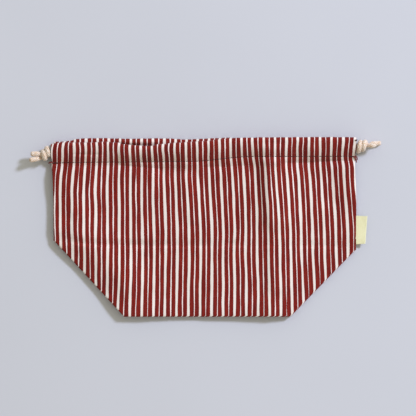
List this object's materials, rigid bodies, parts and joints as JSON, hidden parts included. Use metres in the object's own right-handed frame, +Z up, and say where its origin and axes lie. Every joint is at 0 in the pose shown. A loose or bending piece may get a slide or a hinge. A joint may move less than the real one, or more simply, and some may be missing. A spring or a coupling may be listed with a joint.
{
  "type": "drawstring bag",
  "caption": "Striped cotton lunch bag lying flat, with a folded-in base, a casing along each side of its mouth, knotted drawcords and a side label.",
  "frame": {"origin": "on the surface the bag lies on, below the middle of its whole length and height with its knots", "axes": "+X along the mouth towards the side with the label, +Y from the base to the mouth, +Z up through the flat bag"},
  "size_m": [0.3477, 0.1763, 0.0148],
  "materials": {
    "striped_cotton": "matt plain-weave cotton, uneven dark red stripes on off-white",
    "cream_tape": "matt cream tape",
    "cream_cord": "matt braided cream cotton"
  },
  "bodies": {
    "root": {"bag_cloth": "striped_cotton", "label": "cream_tape", "drawcord_left": "cream_cord", "drawcord_right": "cream_cord"}
  },
  "joints": []
}
